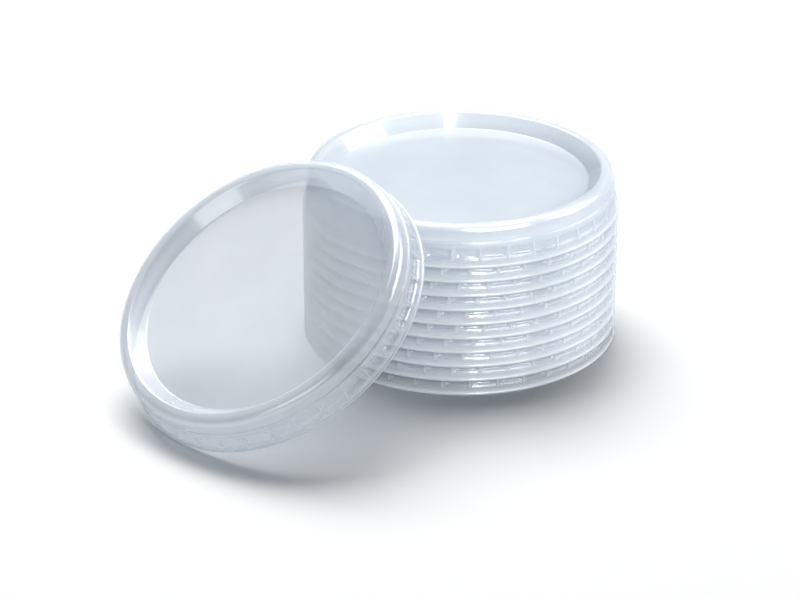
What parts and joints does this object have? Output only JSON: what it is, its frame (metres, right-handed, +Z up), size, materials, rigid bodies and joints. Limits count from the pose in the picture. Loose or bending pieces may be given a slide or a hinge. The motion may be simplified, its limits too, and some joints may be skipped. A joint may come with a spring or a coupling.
{
  "type": "nested stack of round press-on lids",
  "caption": "Nested stack of round translucent press-on plastic lids with recessed tops and ribbed skirts, and one more identical lid leaning against it.",
  "frame": {"origin": "on the stack's axis, at the height of the surface that the bottom lid's lip stands on", "axes": "+Z up along the stack's axis; the leaning lid lies towards -X and -Y, 137.5 degrees clockwise from +X seen from above"},
  "size_m": [0.1813, 0.1762, 0.0794],
  "materials": {
    "lid_plastic": "translucent natural polypropylene, smooth and softly glossy"
  },
  "bodies": {
    "stack_lid_01": {"stack_lid_01": "lid_plastic"},
    "stack_lid_02": {"stack_lid_02": "lid_plastic"},
    "stack_lid_03": {"stack_lid_03": "lid_plastic"},
    "stack_lid_04": {"stack_lid_04": "lid_plastic"},
    "stack_lid_05": {"stack_lid_05": "lid_plastic"},
    "stack_lid_06": {"stack_lid_06": "lid_plastic"},
    "stack_lid_07": {"stack_lid_07": "lid_plastic"},
    "stack_lid_08": {"stack_lid_08": "lid_plastic"},
    "stack_lid_09": {"stack_lid_09": "lid_plastic"},
    "stack_lid_10": {"stack_lid_10": "lid_plastic"},
    "leaning_lid": {"leaning_lid": "lid_plastic"}
  },
  "joints": [
    {"name": "lift_02", "type": "slide", "parent": "stack_lid_01", "child": "stack_lid_02", "axis": [0, 0, 1], "range_m": [0, 0.02]},
    {"name": "lift_03", "type": "slide", "parent": "stack_lid_02", "child": "stack_lid_03", "axis": [0, 0, 1], "range_m": [0, 0.02]},
    {"name": "lift_04", "type": "slide", "parent": "stack_lid_03", "child": "stack_lid_04", "axis": [0, 0, 1], "range_m": [0, 0.02]},
    {"name": "lift_05", "type": "slide", "parent": "stack_lid_04", "child": "stack_lid_05", "axis": [0, 0, 1], "range_m": [0, 0.02]},
    {"name": "lift_06", "type": "slide", "parent": "stack_lid_05", "child": "stack_lid_06", "axis": [0, 0, 1], "range_m": [0, 0.02]},
    {"name": "lift_07", "type": "slide", "parent": "stack_lid_06", "child": "stack_lid_07", "axis": [0, 0, 1], "range_m": [0, 0.02]},
    {"name": "lift_08", "type": "slide", "parent": "stack_lid_07", "child": "stack_lid_08", "axis": [0, 0, 1], "range_m": [0, 0.02]},
    {"name": "lift_09", "type": "slide", "parent": "stack_lid_08", "child": "stack_lid_09", "axis": [0, 0, 1], "range_m": [0, 0.02]},
    {"name": "lift_10", "type": "slide", "parent": "stack_lid_09", "child": "stack_lid_10", "axis": [0, 0, 1], "range_m": [0, 0.02]},
    {"name": "lean_tip", "type": "hinge", "parent": "stack_lid_10", "child": "leaning_lid", "pos_m": [-0.10103, -0.09257, 0], "axis": [0.6756, -0.7373, 0], "range_deg": [0, 53.5]}
  ]
}
